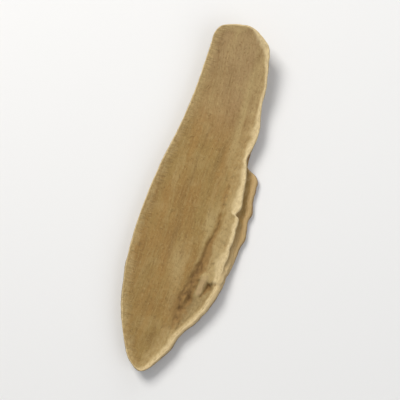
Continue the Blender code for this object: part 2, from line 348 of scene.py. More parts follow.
def tongueShare(form, relief, x, y, ragged):
    # the slanting tongue of the upper layer that is left on the shelf
    middle, foot, top, slant, half = form["tongue"]
    before, after, past = form["tongueEnds"]
    offset = (x - middle - slant * (y - foot) + relief["tongueRagged"] * ragged) / half
    return smoothStep(foot - before, foot + after, y) * smoothStep(top + past, top, y) * np.exp(-offset ** 4)


def pitDepth(form, relief, x, y, ragged):
    depth = 0.0
    raggedX, raggedY = relief["pitRagged"]
    x, y = x + raggedX * ragged, y + raggedY * ragged
    for pitX, pitY, wide, long, deep in form["pits"]:
        depth = depth + deep * bump(x - pitX, wide) * bump(y - pitY, long)
    return depth


# brown and pale places of the upper face, with painted shade in its hollows, a painted highlight and a
# painted cast shadow, in millimetres
sliceStain = {
    "middle": 0.25,  # right of the split's deepest line
    "halfWidths": (1.8, 1.25),  # on its left, on its right
    "wider": (18.6, 15.4, 0.9),  # from y, to y, by how much
    "fade": ((8.5, 14.0), (33.0, 22.0)),
    "strength": 0.45,
    "full": (0.75, 0.7),  # depths of the split and of a pit where their painted shade is full
    "tongueClean": 0.6,
    "tongueTone": 3.4,
    "tongueBand": 0.3,
    "wallFade": 3.0,  # 3 lets the dark fade out over the first third of the wall
    # x, y, half width, half length and strength of lighter (above 0) or darker patches
    "tones": [
        (2.0, 23.0, 1.8, 5.5, 1.3), (0.2, 25.5, 1.5, 4.0, 0.55), (-1.0, 38.0, 4.0, 6.5, -0.4),
        (-1.0, 31.5, 0.7, 6.0, 0.4), (-5.0, 20.0, 3.0, 9.0, -0.4), (5.8, 58.0, 1.2, 15.0, 1.5),
        # the darker patch at x 3.2, y 15.8 is a painted cast shadow
        (5.3, 34.0, 1.0, 3.0, 1.3), (3.2, 15.8, 1.3, 2.2, -1.2), (4.1, 23.0, 0.9, 3.0, -0.9),
        (7.0, 61.0, 0.55, 4.5, -1.7),
    ],
}


def darkAndTone(stain, x, y, beside, groove, pits, verge, tongue):
    # masks for the brown of the split with painted shade in the split and pits, and for the face's paler and
    # darker patches, among them a painted highlight on the raised verge and a painted cast shadow
    low, high, wider = stain["wider"]
    middle = stain["middle"]
    halfWidth = np.where(beside < middle, *stain["halfWidths"]) + wider * smoothStep(low, high, y)
    stained = bump(beside - middle, halfWidth) * fadedBoth(stain["fade"], y) * (1.0 - tongue)
    fullSplit, fullPit = stain["full"]
    # painted shade: the split and the pits darken with their depth
    hollowShade = (groove / fullSplit + pits / fullPit) * (1.0 - stain["tongueClean"] * tongue)
    # painted highlight: the raised verge is made paler where it catches the light; the tongue's paler tone is
    # its own
    tone = verge + stain["tongueTone"] * tongue
    for toneX, toneY, wide, long, strength in stain["tones"]:
        tone = tone + strength * bump(x - toneX, wide) * bump(y - toneY, long)
    return np.clip(hollowShade + stain["strength"] * stained, 0.0, 1.0), tone


def upperFace(form, relief, stain, x, y, across, inset, share, crust):
    # height over an even slice, and masks for the finish
    raggedWide, raggedLong = relief["ragged"]
    ragged = field(across / raggedWide, y / raggedLong, seed=21.0, octaves=3)
    groove, beside = grooveRelief(form, relief, x, y, ragged)
    fromSplit, fromRim = form["bandInside"]
    bandSide = smoothStep(*fromSplit, beside) * smoothStep(*fromRim, inset)
    bandEnd, half = form["bandEnd"], form["bandBreak"]
    broken = smoothStep(bandEnd + half, bandEnd - half, y + relief["breakRagged"] * ragged)
    band = smoothStep(*form["bandFade"], y) * (1.0 - broken) * bandSide
    shelf = broken * smoothStep(*form["shelfFade"], y) * bandSide
    tongue = tongueShare(form, relief, x, y, ragged)
    pits = pitDepth(form, relief, x, y, ragged)

    lipHeight = form["crustLip"] * (1.0 - (1.0 - form["shelfLip"]) * shelf)
    lipHeight = form["poreLip"] + (lipHeight - form["poreLip"]) * crust
    lip = lipHeight * bump(inset, form["lipWidth"])
    lip = lip + waves(relief, "lipWave", x, y, seed=41.0) * bump(inset, relief["lipWaveWidth"])
    cork, pitted = cutRelief(relief, across, y, seed=1.0)
    leftOf, half, height = form["verge"]
    verge = bump(beside + leftOf, half) * fadedBoth(form["vergeFade"], y)
    riseLow, riseHigh, rise = form["tongueRise"]
    drop = form["shelfDrop"] * shelf * (1.0 - rise * tongue * smoothStep(riseLow, riseHigh, y))
    rough = waves(relief, "bandRough", x, y, seed=43.0, octaves=3) * np.clip(band + shelf, 0.0, 1.0)
    level = lip - form["dish"] * (1.0 - share ** 2) - groove + form["bandHeight"] * band + rough
    level = level - pits + cork + height * verge - drop

    dark, tone = darkAndTone(stain, x, y, beside, groove, pits, verge, tongue)
    return {"level": level, "dark": dark, "shelf": shelf * (1.0 - tongue),
            "band": np.maximum(band, stain["tongueBand"] * tongue), "pitted": pitted, "tone": tone}


ringMasks = ("inset", "wall", "dark", "shelf", "band", "pitted", "tone")
rimMasks = ("crust", "rounded", "steep")


def sliceSurface(form, relief, stain):
    # rings of points from the middle of the upper face over rim and wall to the middle of the lower face
    rim, facing, middle = rimAndMiddle(form)
    normal = outward(rim)
    around = len(rim)
    arc = distanceAlong(rim)
    y = rim[:, 1]
    crust = smoothStep(*form["crustFacing"], normal[:, 0])

    def fromPores(least):
        return least + (1.0 - least) * crust

    wave = waves(relief, "rimWave", *rim.T, seed=51.0, octaves=3) * fromPores(relief["poreRim"])
    evenWave = wave / relief["rimWave"][2]
    flare = crust * along(form["crustFlare"], y) + (1.0 - crust) * form["poreFlare"]
    scallop, height = relief["ledgeWave"]
    scallops = height * field(arc / scallop, 0.0 * arc, seed=57.0)
    flare = flare + crust * smoothStep(*relief["ledgeWaved"], flare) * scallops
    span = form["evenedOver"]
    flare = np.convolve(np.pad(flare, span // 2, mode="wrap"), np.ones(span) / span, mode="valid")
    rounded = smoothStep(*form["wallChange"], y + relief["wallChangeRagged"] * evenWave)
    steep = smoothStep(*form["ledgeEnd"], y + relief["ledgeEndRagged"] * evenWave) * (1.0 - rounded)

    def notched(drop):
        # the rim at a depth below the upper face; its notches slant as they go down, and fade out
        depth = 0.0
        for place, most, below, above in form["notches"]:
            away = y - place + form["notchSlant"] * drop
            depth = depth + most * bump(away, np.where(away < 0.0, below, above))
        depth = depth * crust * smoothStep(*form["notchFade"], drop)
        return rim + normal * (wave - depth)[:, None]

    def acrossOf(at):
        return at[:, 0] - np.interp(at[:, 1], middle[:, 1], middle[:, 0])

    upper = notched(0.0)
    reach = np.linalg.norm(upper - facing, axis=1)
    kept = {name: [] for name in ("place", "flow", *ringMasks)}

    def keep(at, height, down, **given):
        kept["place"].append(np.column_stack([at, height]))
        kept["flow"].append(np.column_stack([acrossOf(at), at[:, 1], np.zeros(around) + down]))
        for name in ringMasks:
            kept[name].append(np.zeros(around) + given.get(name, 0.0))

    for step in np.linspace(0.0, 1.0, form["faceRings"]):
        share = 1.0 - (1.0 - step) ** form["crowding"]
        at = facing + share * (upper - facing)
        inset = (1.0 - share) * reach
        face = upperFace(form, relief, stain, *at.T, acrossOf(at), inset, share, crust)
        level = face.pop("level")
        keep(at, underside(form, *at.T) + thickness(form, at[:, 1]) + level, 0.0, inset=inset, **face)

    stepped = smoothCurve(form["wall"], form["wallRings"] + 1)[1:]
    plain = smoothCurve(form["roundWall"], form["wallRings"] + 1)[1:]
    wide = smoothStep(*form["wideLedge"], flare)
    stretch, blunt = relief["wallRough"]
    for i in range(form["wallRings"]):
        flareShare, heightShare, ridge, lift = (a + (b - a) * rounded for a, b in zip(stepped[i], plain[i]))
        down = (1.0 - heightShare) * form["thickness"]
        wall = (i + 1) / form["wallRings"]
        roughness = math.sin(math.pi * wall * stretch) ** blunt if wall * stretch < 1.0 else 0.0
        furrow = waves(relief, "crustFurrow", arc, down, seed=61.0)
        layer = waves(relief, "crustLayer", arc, down, seed=67.0, octaves=3)
        swell = waves(relief, "poreWave", arc, down, seed=71.0) - relief["poreLean"] * wall
        rough = roughness * ((furrow + layer) * fromPores(relief["poreRough"]) + swell * (1.0 - crust))
        out = flare * flareShare + ridge * fromPores(relief["poreRidge"]) + rough
        at = notched(down) + normal * out[:, None]
        rise = (thickness(form, at[:, 1]) + level) * heightShare + lift * wide
        fade = max(0.0, 1.0 - wall * stain["wallFade"])
        keep(at, underside(form, *at.T) + rise, -down, wall=wall, dark=face["dark"] * fade,
             shelf=face["shelf"] * fade)

    lower = at
    base, share, most = relief["scar"]
    for step in np.linspace(0.0, 1.0, form["underRings"] + 1)[1:]:
        at = facing + (1.0 - step) * (lower - facing)
        inset = step * reach
        scar, pitted = cutRelief(relief, acrossOf(at), at[:, 1], seed=90.0)
        scar = np.clip(base + share * scar, 0.0, most) * smoothStep(0.0, form["lipWidth"], inset)
        keep(at, underside(form, *at.T) + scar, -form["thickness"], inset=inset, wall=1.0, pitted=pitted)

    surface = {name: np.stack(rings) for name, rings in kept.items()}
    for name, values in zip(rimMasks, (crust, rounded, steep)):
        surface[name] = np.repeat(values[None, :], len(surface["wall"]), axis=0)
    return surface


def tube(around, levels):
    # an open upright tube, cut into rings: first into half the bands, then each of those in two
    bpy.ops.object.select_all(action="DESELECT")
    bpy.ops.mesh.primitive_cylinder_add(vertices=around, radius=1.0, depth=1.0, end_fill_type="NOTHING")
    blank = bpy.context.object
    bpy.ops.object.mode_set(mode="EDIT")
    bpy.ops.mesh.select_mode(type="EDGE")
    bands = levels - 1
    for cuts in (bands // 2 - 1, 1):
        bpy.ops.mesh.select_all(action="DESELECT")
        edit = bmesh.from_edit_mesh(blank.data)
        for edge in edit.edges:
            a, b = edge.verts
            edge.select_set(abs(a.co.z - b.co.z) > 0.001 and (a.co.xy - b.co.xy).length < 0.001)
        bmesh.update_edit_mesh(blank.data)
        bpy.ops.mesh.subdivide(number_cuts=cuts)
    bpy.ops.object.mode_set(mode="OBJECT")
    return blank


def makeSlice(form, relief, stain, finish):
    surface = sliceSurface(form, relief, stain)
    levels, around = surface["inset"].shape
    blank = tube(around, levels)
    blank.name = blank.data.name = "driedSlice"
    mesh = blank.data
    count = len(mesh.vertices)
    points = np.empty((count, 3))
    mesh.vertices.foreach_get("co", points.ravel())
    x, y, z = points.T
    turn = np.arctan2(y, x) / (2.0 * np.pi)
    ray = np.rint((turn - turn[0]) * around).astype(int) % around
    ring = np.rint((0.5 - z) * (levels - 1)).astype(int)
    print("slice blank:", around, "around,", levels, "rings,", count, "points")

    # the slice stands on the floor of the CAD box, in the middle of it
    place = surface["place"][ring, ray] * mm
    boxLow, boxHigh = (Vector(corner) for corner in cadBox)
    low, high = place.min(axis=0), place.max(axis=0)
    place[:, 0] += (boxLow.x + boxHigh.x - low[0] - high[0]) / 2.0
    place[:, 1] += (boxLow.y + boxHigh.y - low[1] - high[1]) / 2.0
    place[:, 2] += boxLow.z - low[2]
    mesh.vertices.foreach_set("co", place.ravel())

    flow = surface["flow"][ring, ray]
    mesh.attributes.new("flow", "FLOAT_VECTOR", "POINT").data.foreach_set("vector", flow.ravel())
    masks = {name: surface[name][ring, ray] for name in ringMasks + rimMasks}
    strawWidth = finish["strawWidth"] * smoothStep(*finish["strawFade"], flow[:, 1]) + finish["strawLeast"]
    for name, crustSide, poreSide in (
        ("creamWidth", along(finish["creamWidth"], flow[:, 1]), finish["poreCream"]),
        ("strawWidth", strawWidth, finish["poreStrawWidth"]),
        # worn pale crust, with painted light that lifts the step's shadow under the rim
        ("worn", along(finish["wornAndLitLedge"], flow[:, 1]), 0.0),
    ):
        masks[name] = poreSide + (crustSide - poreSide) * masks["crust"]
    for name, values in masks.items():
        mesh.attributes.new(name, "FLOAT", "POINT").data.foreach_set("value", values)

    # the first and last rings lie folded on the middle lines, and are merged there
    bpy.ops.object.mode_set(mode="EDIT")
    bpy.ops.mesh.select_all(action="SELECT")
    bpy.ops.mesh.remove_doubles(threshold=form["mergeWithin"] * mm)
    bpy.ops.mesh.normals_make_consistent(inside=False)
    bpy.ops.object.mode_set(mode="OBJECT")
    bpy.ops.object.shade_smooth()
    print("slice shaped:", len(mesh.vertices), "points,", len(mesh.polygons), "faces")
    return blank


def plug(socket, value):
    # joins a socket to another, or sets its value
    if isinstance(value, bpy.types.NodeSocket):
        socket.id_data.links.new(value, socket)
    else:
        socket.default_value = value


def plugAll(sockets, values):
    for name, value in values.items():
        plug(sockets[name], value)


def newGroup(name, *inputs):
    # a node group that reads flow, masks and colours; a colour's name starts with a capital letter
    group = bpy.data.node_groups.new(name, "ShaderNodeTree")
    for item in ("flow", *inputs):
        kind = "Vector" if item == "flow" else "Color" if item[0].isupper() else "Float"
        group.interface.new_socket(name=item, in_out="INPUT", socket_type="NodeSocket" + kind)
    return group, group.nodes.new("NodeGroupInput").outputs


def closeGroup(group, **results):
    # gives the group its outputs
    for name in results:
        kind = "Color" if name == "Color" else "Float"
        group.interface.new_socket(name=name, in_out="OUTPUT", socket_type="NodeSocket" + kind)
    plugAll(group.nodes.new("NodeGroupOutput").inputs, results)
    return group


def makeNode(kind, values, **settings):
    # a node in the tree that its values come from, given by the name or number of its inputs
    tree = next(value.id_data for value in values.values() if isinstance(value, bpy.types.NodeSocket))
    node = tree.nodes.new("ShaderNode" + kind)
    for name, value in settings.items():
        setattr(node, name, value)
    plugAll(node.inputs, values)
    return node.outputs


def maths(operation, a, b=0.0, c=0.0):
    return makeNode("Math", {0: a, 1: b, 2: c}, operation=operation)[0]


def times(first, *others):
    for value in others:
        first = maths("MULTIPLY", first, value)
    return first


def scaled(value, scale, shift):
    return maths("MULTIPLY_ADD", value, scale, shift)


def weighed(*terms):
    # values times their weights, added up
    total = 0.0
    for value, weight in terms:
        total = scaled(value, weight, total)
    return total


def highest(first, *others):
    for value in others:
        first = maths("MAXIMUM", first, value)
    return first


def opposite(value):
    return maths("SUBTRACT", 1.0, value)


def blended(share, a, b):
    return scaled(maths("SUBTRACT", b, a), share, a)


def ramp(value, low, high, start=0.0, end=1.0):
    values = dict(enumerate((value, low, high, start, end)))
    return makeNode("MapRange", values, interpolation_type="SMOOTHSTEP")[0]


def between(value, rise, fall):
    # comes in over one range of the value and goes out over another
    return times(ramp(value, *rise), ramp(value, *fall))


def strayed(value, noise, width):
    # a value that noise moves up and down, within a width
    return maths("ADD", value, scaled(noise, width, -width / 2.0))


def mixed(share, a, b):
    return makeNode("Mix", {0: share, 6: a, 7: b}, data_type="RGBA")[2]


def tinted(color, tint, mask, low, high, strength=1.0):
    # lets a tint in as the mask goes from low to high
    return mixed(ramp(mask, low, high, 0.0, strength), color, tint)


def stretched(vector, scale, shift=(0.0, 0.0, 0.0)):
    return makeNode("Mapping", {"Vector": vector, "Location": shift, "Scale": scale})[0]


def grainNoise(vector, scale, detail, rough, shift=(0.0, 0.0, 0.0)):
    values = {"Vector": stretched(vector, scale, shift), "Scale": 1.0, "Detail": detail, "Roughness": rough}
    return makeNode("TexNoise", values)[0]


def cells(vector, scale):
    return makeNode("TexVoronoi", {"Vector": stretched(vector, scale), "Scale": 1.0})["Distance"]


# Each noise below has its scale for a millimetre, its detail, its roughness and its shift. A range has where
# on a noise or mask a thing starts and is whole, and then its strength, or its least and its most.
fleshFinish = {
    "bend": ((0.16, 0.09, 0.2), 2.0, 0.5, (4.0, 9.0, 2.0)),
    "bendWidth": 2.4,
    "noises": {
        "streak": ((0.55, 0.035, 0.3), 4.0, 0.6),
        "cloud": ((0.11, 0.06, 0.2), 3.0, 0.55, (7.0, 3.0, 0.0)),
        "zone": ((0.17, 0.25, 0.2), 3.0, 0.6, (3.0, 6.0, 4.0)),
        "shade": ((0.3, 0.045, 0.3), 4.0, 0.65, (2.0, 11.0, 5.0)),
        "fibre": ((3.2, 0.26, 2.0), 4.0, 0.7, (1.0, 4.0, 2.0)),
        "grain": ((2.6, 1.5, 2.2), 5.0, 0.75, (9.0, 1.0, 2.0)),
    },
    "streakShare": 0.45,
    "warm": (0.36, 0.64),
    "endDrift": 22.0,  # how far, in millimetres, the paler blunt end reaches in and out
    # mask, range, strength and tint, laid over each other
    "tints": [
        ("endwards", 46.0, 70.0, 0.75, "End"), ("tone", 0.0, 2.0, 0.9, "Pale"),
        ("tone", 0.0, -1.0, 0.35, "Deep"),
        ("zone", 0.5, 0.68, 0.16, "Deep"), ("zone", 0.5, 0.34, 0.2, "Pale"),
        ("tone", 2.4, 3.1, 0.8, "Blush"),
        ("shade", 0.5, 0.7, 0.5, "Deep"), ("shade", 0.48, 0.28, 0.5, "Pale"),
        ("fibre", 0.5, 0.72, 0.46, "Deep"), ("fibre", 0.48, 0.28, 0.44, "Pale"),
        ("grain", 0.53, 0.68, 0.55, "Deep"), ("grain", 0.47, 0.34, 0.42, "Pale"),
    ],
    "cells": (2.8, 1.5, 3.4),
    "pore": (0.2, 0.07),
    "porous": (0.44, 0.56),
    "poreDark": 0.5,
    "pittedDark": 0.3,
    "heights": {"fibre": -0.1, "grain": -0.22, "pore": -0.1},
}


def corkFleshGroup(look):
    # the cut flesh: soft lengthwise streaks, slow cloudy changes, fibres and cut pores
    group, given = newGroup("corkFlesh", "pitted", "tone", "Warm", "Olive", "Deep", "Pale", "Blush", "End")
    lengthwise = makeNode("SeparateXYZ", {"Vector": given["flow"]})["Y"]
    bend = scaled(grainNoise(given["flow"], *look["bend"]), look["bendWidth"], -look["bendWidth"] / 2.0)
    sideways = makeNode("CombineXYZ", {"X": bend})["Vector"]
    flow = makeNode("VectorMath", {0: given["flow"], 1: sideways})["Vector"]

    masks = {name: grainNoise(flow, *item) for name, item in look["noises"].items()}
    masks["tone"] = given["tone"]
    masks["endwards"] = strayed(lengthwise, masks["cloud"], look["endDrift"])
    masks["pore"] = times(ramp(cells(flow, look["cells"]), *look["pore"]),
                          ramp(masks["grain"], *look["porous"]))
    streaked = look["streakShare"]
    hue = weighed((masks["streak"], streaked), (masks["cloud"], 1.0 - streaked))
    color = tinted(given["Olive"], given["Warm"], hue, *look["warm"])
    for mask, low, high, strength, tint in look["tints"]:
        color = tinted(color, given[tint], masks[mask], low, high, strength)
    for mask, strength in ((masks["pore"], look["poreDark"]), (given["pitted"], look["pittedDark"])):
        color = mixed(times(mask, strength), color, given["Deep"])
    heights = [(masks[name], weight) for name, weight in look["heights"].items()]
    return closeGroup(group, Color=color, Height=weighed(*heights))


rimFinish = {
    "waver": ((0.55, 0.4, 0.5), 3.0, 0.6, (3.0, 8.0, 1.0)),
    "fine": ((1.8, 1.1, 1.6), 4.0, 0.65, (5.0, 2.0, 1.0)),
    "spread": (1.6, 1.1),  # share of each noise in a band's width
    "narrower": -0.35,
    "stroke": (0.62, 0.4),
    "straw": (1.4, 0.4),  # shares of its width where a band ends, and is whole
    "cream": (1.5, 0.5),
    # a band's strength: more in a stroke, and what it always has
    "strawShare": (0.45, 0.3),
    "creamShare": (0.3, 0.62),
    "roundedShare": -0.2,
}


def paleRimGroup(look):
    # the bright outer line of the cut face and the straw-coloured band inside it
    group, given = newGroup("paleRim", "inset", "creamWidth", "strawWidth", "rounded", "Color", "Cream",
                            "Straw")
    waver = grainNoise(given["flow"], *look["waver"])
    fine = grainNoise(given["flow"], *look["fine"])
    spread = weighed(*zip((waver, fine), look["spread"]))
    spread = maths("ADD", spread, look["narrower"])
    stroke = ramp(fine, *look["stroke"])

    def band(width, shares):
        width = times(given[width], spread)
        return ramp(given["inset"], *(times(width, share) for share in shares))

    straw = times(band("strawWidth", look["straw"]), scaled(stroke, *look["strawShare"]))
    strength = scaled(given["rounded"], look["roundedShare"], scaled(stroke, *look["creamShare"]))
    cream = times(band("creamWidth", look["cream"]), strength)
    color = mixed(straw, given["Color"], given["Straw"])
    return closeGroup(group, Color=mixed(cream, color, given["Cream"]))


tubeFinish = {
    "edge": ((0.9, 0.45, 1.0), 3.0, 0.6, (4.0, 4.0, 1.0)),
    "strand": ((0.3, 3.4, 1.0), 3.0, 0.65, (6.0, 2.0, 3.0)),
    "ragged": 2.0,
    "reach": (2.9, 1.9),  # in from the rim, in millimetres
    "poreSide": (0.45, 0.15),
    "strands": (0.48, 0.66),
    "bandShare": 0.08,
    "strandShare": 0.3,
    "strandHeight": -0.06,
}


def tubeLayerGroup(look):
    # the band of fine tubes that runs along the pore side, cut lengthwise
    group, given = newGroup("tubeLayer", "inset", "crust", "Color", "Tube")
    edge = grainNoise(given["flow"], *look["edge"])
    strand = grainNoise(given["flow"], *look["strand"])
    depth = strayed(given["inset"], edge, look["ragged"])
    band = times(ramp(depth, *look["reach"]), ramp(given["crust"], *look["poreSide"]))
    lines = times(ramp(strand, *look["strands"]), band)
    color = mixed(times(band, look["bandShare"]), given["Color"], given["Tube"])
    color = mixed(times(lines, look["strandShare"]), color, given["Tube"])
    return closeGroup(group, Color=color, Height=times(lines, look["strandHeight"]))


tornFinish = {
    "mottle": ((1.5, 0.8, 1.0), 4.0, 0.65, (3.0, 3.0, 9.0)),
    "light": (0.62, 0.4, 0.28, 0.8),
    "dull": (0.54, 0.68, 0.0, 0.6),
    "shelfShare": (1.0, 0.3),  # more where the mottle is high, and everywhere
    "height": -0.25,
}


def tornLayerGroup(look):
    # mottled strokes where the upper layer is rough beside the split, and the duller layer under it
    group, given = newGroup("tornLayer", "band", "shelf", "Color", "Straw", "Dull")
    mottle = grainNoise(given["flow"], *look["mottle"])
    light = times(given["band"], ramp(mottle, *look["light"]))
    dull = times(given["band"], ramp(mottle, *look["dull"]))
    shelf = times(given["shelf"], scaled(mottle, *look["shelfShare"]))
    color = mixed(light, given["Color"], given["Straw"])
    for mask in (dull, shelf):
        color = mixed(mask, color, given["Dull"])
    torn = highest(given["band"], given["shelf"])
    return closeGroup(group, Color=color, Height=times(mottle, torn, look["height"]))


splitFinish = {
    "mottle": ((1.3, 0.9, 1.0), 4.0, 0.65, (8.0, 1.0, 4.0)),
    "uneven": 0.9,
    "brown": (0.12, 0.6, 0.85),
    "black": (0.78, 1.2, 0.75),
    "height": -0.35,
}


def splitGroup(look):
    # the inside of the split and pits: its brown stain, and painted shade that turns brown and then near
    # black as they get deeper
    group, given = newGroup("split", "dark", "Color", "Brown", "Black")
    mottle = grainNoise(given["flow"], *look["mottle"])
    depth = strayed(given["dark"], mottle, look["uneven"])
    color = tinted(given["Color"], given["Brown"], depth, *look["brown"])
    color = tinted(color, given["Black"], depth, *look["black"])
    return closeGroup(group, Color=color, Height=times(mottle, given["dark"], look["height"]))


# ranges on the wall run from 0 at the rim to 1 at the foot
crustFinish = {
    "patch": ((0.6, 0.4, 1.4), 5.0, 0.65, (2.0, 5.0, 3.0)),
    "layer": ((0.3, 0.22, 4.5), 4.0, 0.65, (8.0, 2.0, 6.0)),
    "flakes": ((0.7, 0.3, 1.6), 5.0, 0.65, (1.0, 7.0, 5.0)),
    "grit": ((2.2, 1.3, 4.0), 5.0, 0.7, (6.0, 3.0, 2.0)),
    "low": (0.66, 0.8, 0.12, 1.0),
    "chestnut": (0.34, 0.54),
    "paleLayer": (0.48, 0.64, 0.45),
    "ragged": 0.24,
    "ledge": ((0.43, 0.53), (0.78, 0.68)),  # comes in, goes out
    "lip": (0.15, 0.06),
    "crease": ((0.08, 0.16), (0.36, 0.26)),
    "creaseShare": (0.9, 0.3, 0.0, 0.55),
    "wornAndLitTo": (0.56, 0.42),
    "bright": (0.2, 0.45),  # more where it is worn and lit with painted light, and everywhere
    "paleShare": (0.6, 0.55),  # more on a layer, and everywhere
    # flakes: more of them towards the foot; the noise, wall and rounded edge where they start
    "flakesDown": 0.5,
    "flaked": (0.76, 0.86),
    "flakedWall": (0.46, 0.56),
    "flakedRounded": (0.5, 0.95, 0.0, 0.75),
    "gritBark": (0.52, 0.68, 0.22),
    "gritCream": (0.47, 0.34, 0.2),
    "lacquer": (0.48, 0.64),
    "roughness": (-0.28, 0.72),
    "heights": (0.22, 0.16, -0.3),
}


def crustSkinGroup(look):
    # the thin lacquered crust on the wall: chestnut hollows, worn olive bark and pale ridges, with painted
    # light on the wall under the rim
    group, given = newGroup("crustSkin", "wall", "rounded", "worn", "steep", "Chestnut", "Bark", "Ledge",
                            "Cream")
    flow, wall, rounded = given["flow"], given["wall"], given["rounded"]
    names = ("patch", "layer", "flakes", "grit")
    patch, layer, flakes, grit = (grainNoise(flow, *look[name]) for name in names)

    # chestnut low down and on the steep stretch, olive bark higher up
    low = highest(ramp(wall, *look["low"]), given["steep"])
    chestnut = times(ramp(patch, *look["chestnut"]), low)
    color = mixed(chestnut, given["Bark"], given["Chestnut"])
    color = tinted(color, given["Ledge"], layer, *look["paleLayer"])

    # pale ledge and lip, and the worn wall under the rim, which is also lightened with painted light against
    # the step's cast shadow and the shade of the rounded slope, except in its crease
    shifted = strayed(wall, patch, look["ragged"])
    ledge = times(between(shifted, *look["ledge"]), opposite(given["steep"]))
    lip = ramp(shifted, *look["lip"])
    crease = times(between(shifted, *look["crease"]), ramp(rounded, *look["creaseShare"]))
    over = times(ramp(shifted, *look["wornAndLitTo"]), given["worn"], opposite(crease))
    pale = highest(ledge, lip, over)
    bright = times(rounded, scaled(over, *look["bright"]))
    tone = mixed(highest(lip, bright), given["Ledge"], given["Cream"])
    color = mixed(times(pale, scaled(layer, *look["paleShare"])), color, tone)

    # flakes of crust that are left on the rounded edge
    flaked = ramp(scaled(wall, look["flakesDown"], flakes), *look["flaked"])
    remnant = times(flaked, ramp(wall, *look["flakedWall"]), ramp(rounded, *look["flakedRounded"]))
    color = mixed(remnant, color, given["Chestnut"])
    color = tinted(color, given["Bark"], grit, *look["gritBark"])
    color = tinted(color, given["Cream"], grit, *look["gritCream"])

    lacquer = times(ramp(patch, *look["lacquer"]), opposite(pale))
    height = weighed(*zip((layer, patch, grit), look["heights"]))
    roughness = scaled(lacquer, *look["roughness"])
    return closeGroup(group, Color=color, Height=height, Roughness=roughness, Lacquer=lacquer)


poreFinish = {
    "clogged": ((0.7, 0.5, 0.9), 3.0, 0.6, (2.0, 9.0, 4.0)),
    "tone": ((0.8, 0.4, 1.2), 3.0, 0.6, (1.0, 1.0, 7.0)),
    "cells": (3.5, 3.5, 3.5),
    "hole": (0.54, 0.3),
    "open": (0.36, 0.6, 0.35, 1.0),
    "darker": (0.4, 0.7, 0.5),
    "holeShare": 0.62,
    "holeHeight": -0.13,
}


def poreSkinGroup(look):
    # the pale underside of the cap, full of round pores, some of them clogged
    group, given = newGroup("poreSkin", "Pore Skin", "Pore Hole")
    flow = given["flow"]
    clogged = grainNoise(flow, *look["clogged"])
    tone = grainNoise(flow, *look["tone"])
    hole = times(ramp(cells(flow, look["cells"]), *look["hole"]), ramp(clogged, *look["open"]))
    color = tinted(given["Pore Skin"], given["Pore Hole"], tone, *look["darker"])
    color = mixed(times(hole, look["holeShare"]), color, given["Pore Hole"])
    return closeGroup(group, Color=color, Height=times(hole, look["holeHeight"]))


sliceFinish = {
    # each is given to the groups that have an input of its name
    "colors": {
        "Warm": (0.332, 0.184, 0.051, 1.0),
        "Olive": (0.318, 0.206, 0.064, 1.0),
        "Deep": (0.19, 0.102, 0.028, 1.0),
        "Pale": (0.446, 0.328, 0.141, 1.0),
        "Blush": (0.46, 0.3, 0.165, 1.0),
        "End": (0.365, 0.248, 0.122, 1.0),
        "Cream": (0.76, 0.6, 0.33, 1.0),
        "Straw": (0.47, 0.34, 0.15, 1.0),
        "Tube": (0.25, 0.155, 0.06, 1.0),
        # Brown serves the split's stain and its painted shade; Black is painted shade where the split and
        # pits are deepest
        "Brown": (0.3, 0.174, 0.056, 1.0),
        "Black": (0.15, 0.078, 0.024, 1.0),
        "Dull": (0.22, 0.15, 0.057, 1.0),
        "Chestnut": (0.155, 0.058, 0.02, 1.0),
        "Bark": (0.32, 0.2, 0.06, 1.0),
        "Ledge": (0.53, 0.365, 0.165, 1.0),
        "Pore Skin": (0.48, 0.36, 0.185, 1.0),
        "Pore Hole": (0.2, 0.12, 0.05, 1.0),
    },
    "even": {"Coat Roughness": 0.3, "Specular IOR Level": 0.3},  # the same all over
    "roughness": 0.76,
    "coat": 0.25,
    # y, width of the cream rim on the crust side, in millimetres
    "creamWidth": [
        (0.0, 0.7), (8.0, 0.75), (14.0, 0.75), (17.0, 0.6), (19.0, 0.45), (21.0, 0.45), (22.5, 0.85),
        (24.5, 1.3), (26.5, 1.7), (29.0, 0.6), (32.0, 0.8), (35.0, 0.65), (36.8, 0.7), (38.5, 1.35),
        (44.0, 1.0), (47.0, 0.75), (49.0, 0.65), (51.0, 0.85), (54.0, 1.2), (57.0, 1.05), (59.0, 0.55),
        (63.0, 0.42), (67.0, 0.45), (70.0, 0.75), (72.5, 1.15), (74.0, 0.7), (75.5, 0.25),
    ],
    "poreCream": 0.2,
    "strawWidth": 3.0,
    "strawFade": (74.0, 66.0),
    "strawLeast": 0.3,
    "poreStrawWidth": 1.5,
    # y, how far the crust right under the rim is worn pale and lightened with painted light against the
    # step's cast shadow
    "wornAndLitLedge": [(20.0, 1.0), (26.0, 1.0), (30.0, 0.9), (32.0, 0.85), (34.0, 0.45), (36.0, 0.0)],
    # where crust gives way to pores around the two ends, and the pale margin between them
    "turn": ((0.5, 0.5, 0.9), 4.0, 0.65, (5.0, 5.0, 3.0)),
    "turnWidth": 1.2,
    "turnRange": (0.3, 0.7),
    "margin": ((0.0, 0.45), (1.1, 0.6, 0.0, 0.6)),
    "wallEdge": 0.04,
    "reliefEdge": 0.25,
    "sideLevel": -0.1,
}


def attribute(tree, name, kind="Fac"):
    node = tree.nodes.new("ShaderNodeAttribute")
    node.attribute_name = name
    return node.outputs[kind]


def placed(tree, group, sources, color=None):
    # a group in the material; its inputs get the masks and colours of their names, and what lies under
    node = tree.nodes.new("ShaderNodeGroup")
    node.node_tree = group
    for socket in node.inputs:
        plug(socket, color if socket.name == "Color" else sources[socket.name])
    return node.outputs


